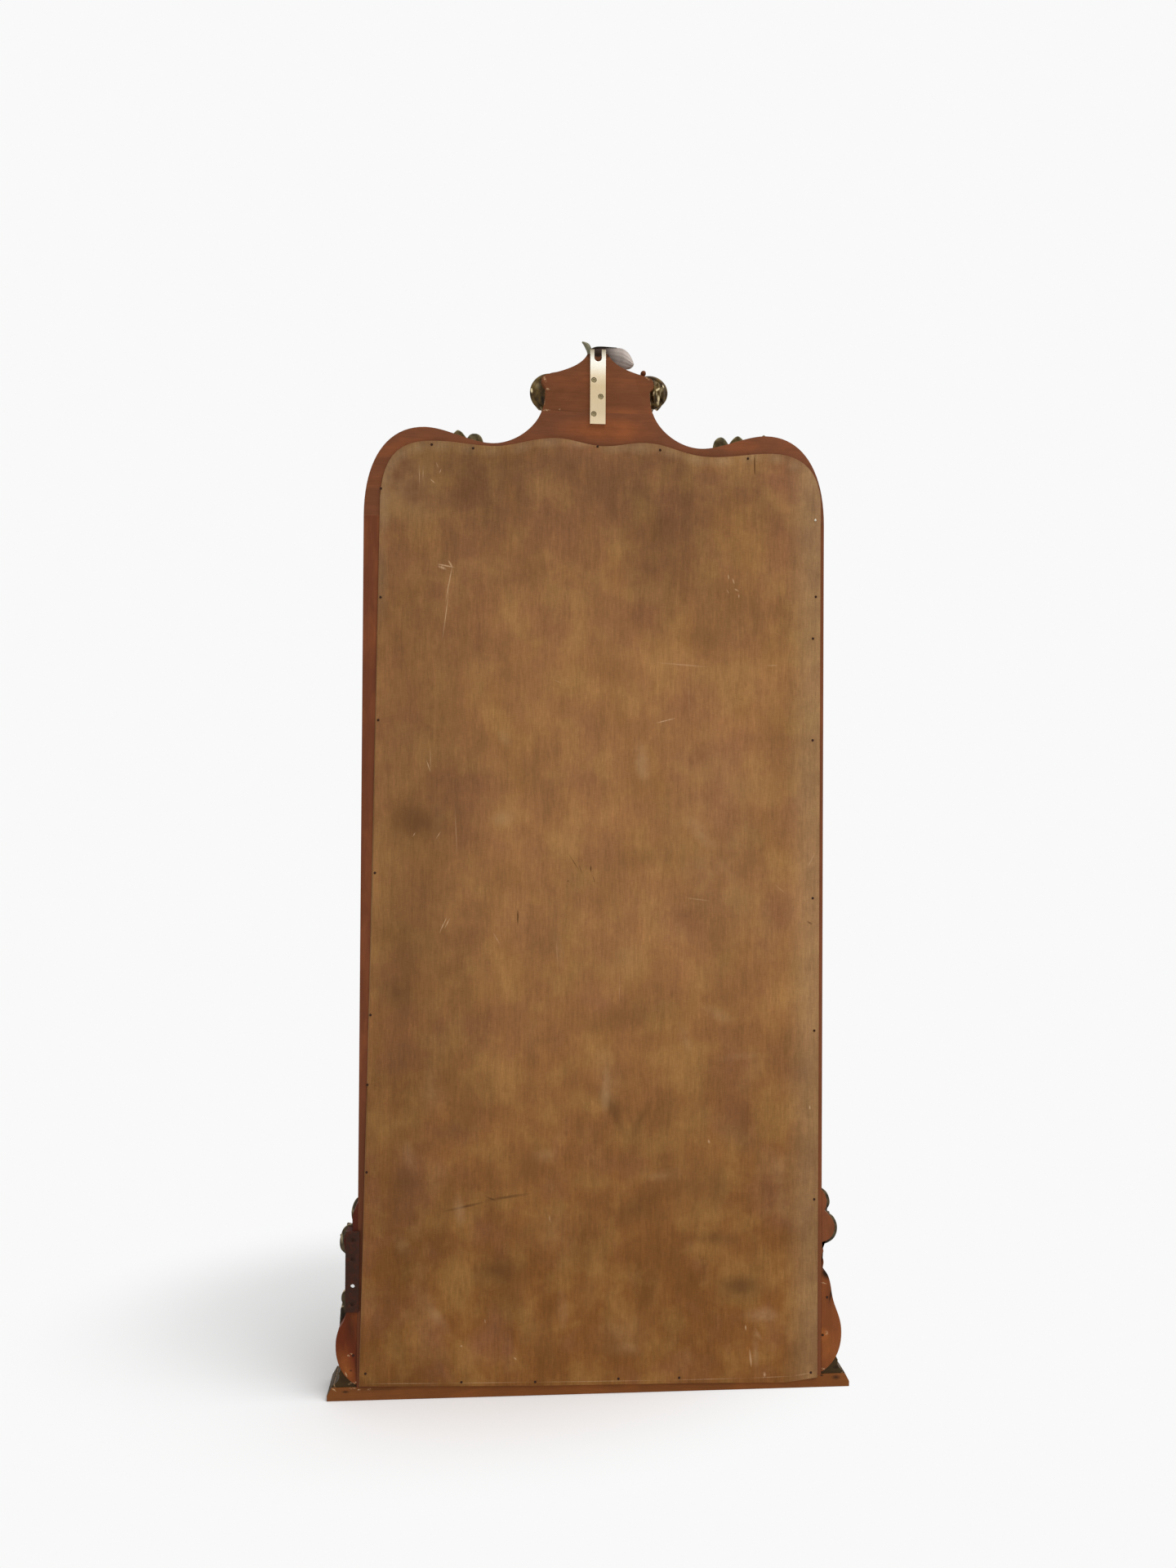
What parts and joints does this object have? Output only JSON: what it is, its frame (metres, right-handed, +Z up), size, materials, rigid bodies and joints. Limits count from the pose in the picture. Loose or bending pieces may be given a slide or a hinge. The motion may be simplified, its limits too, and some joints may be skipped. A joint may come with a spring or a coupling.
{
  "type": "wall mirror",
  "caption": "Tall wall mirror: carved gilt frame on a wooden carcass, with a nailed backboard, a slotted hanging plate and a moulded plinth.",
  "frame": {"origin": "centre of the plinth's underside, midway between the wall plane and the plinth's front edge", "axes": "+Z up; the glass faces -Y and the back of the mirror faces +Y; +X is to the right as seen from the front"},
  "size_m": [0.832, 0.084, 1.6924],
  "materials": {
    "stained_wood": "softwood with a worn red-brown stain",
    "light_wood": "softwood with a thin orange-brown stain",
    "gilt": "aged gold leaf on gesso over carved wood",
    "silvered_gilt": "tarnished silver-gilt leaf on carved wood",
    "mirror_glass": "silvered plate glass, slightly foxed",
    "backboard": "thin board, olive-brown wash, stained and scratched",
    "nickel": "nickel-plated steel, warm and lightly brushed",
    "iron": "dark rusted iron"
  },
  "bodies": {
    "root": {"left_stile": "stained_wood", "right_stile": "stained_wood", "top_rail": "stained_wood", "bottom_rail": "stained_wood", "crest_board": "stained_wood", "crest_dowels": "light_wood", "left_ear_block": "stained_wood", "right_ear_block": "stained_wood", "left_foot_block": "light_wood", "right_foot_block": "light_wood", "plinth_board": "light_wood", "plinth_core": "light_wood", "plinth_front": "gilt", "plinth_left_return": "gilt", "plinth_right_return": "gilt", "plinth_screws": "iron", "mirror_glass": "mirror_glass", "glazing_blocks": "light_wood", "backboard": "backboard", "backboard_nails": "iron", "block_nails": "iron", "hanging_plate": "nickel", "hanging_plate_screws": "nickel", "mending_plate": "iron", "mending_plate_screws": "iron", "left_slip": "gilt", "right_slip": "gilt", "top_slip": "gilt", "bottom_slip": "gilt", "left_moulding": "gilt", "right_moulding": "gilt", "top_moulding": "gilt", "bottom_moulding": "gilt", "left_foot_scroll": "gilt", "right_foot_scroll": "gilt", "left_ear": "gilt", "right_ear": "gilt", "left_shoulder_leaf": "gilt", "right_shoulder_leaf": "gilt", "left_crest_scroll": "gilt", "right_crest_scroll": "gilt", "crest_shell": "gilt", "crest_plume": "silvered_gilt"}
  },
  "joints": []
}
